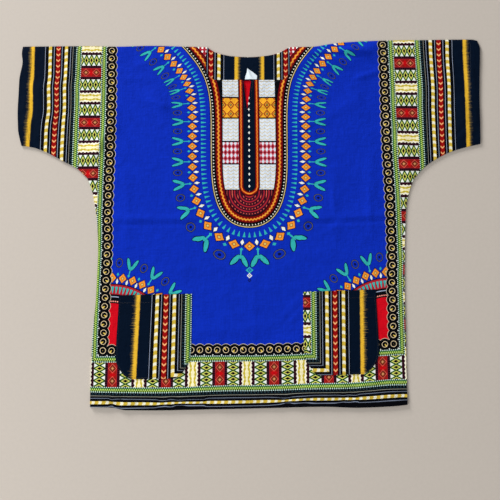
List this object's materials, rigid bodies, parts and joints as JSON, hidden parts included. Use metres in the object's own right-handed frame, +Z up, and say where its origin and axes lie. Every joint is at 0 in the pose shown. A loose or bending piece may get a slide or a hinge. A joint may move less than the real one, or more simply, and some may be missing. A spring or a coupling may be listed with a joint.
{
  "type": "dashiki shirt",
  "caption": "Dashiki shirt in printed cotton laid flat: T-shaped front and back, square slit neck, striped facing and patch pockets.",
  "frame": {"origin": "middle of the shirt's box, on the surface it lies on", "axes": "+X towards the sleeve on the right seen from above, +Y from hem to neck, +Z up out of the surface"},
  "size_m": [1.0019, 0.7885, 0.0057],
  "materials": {
    "front_cloth": "printed plain weave cotton, matt, with striped borders",
    "back_cloth": "printed plain weave cotton, matt, with striped borders",
    "pocket_cloth": "striped border of the printed cotton",
    "facing_cloth": "striped border of the printed cotton",
    "tab_tape": "plain white woven tape"
  },
  "bodies": {
    "root": {"front_panel": "front_cloth", "back_panel": "back_cloth", "pocket_left": "pocket_cloth", "pocket_right": "pocket_cloth", "back_neck_facing": "facing_cloth", "neck_tab": "tab_tape"}
  },
  "joints": []
}
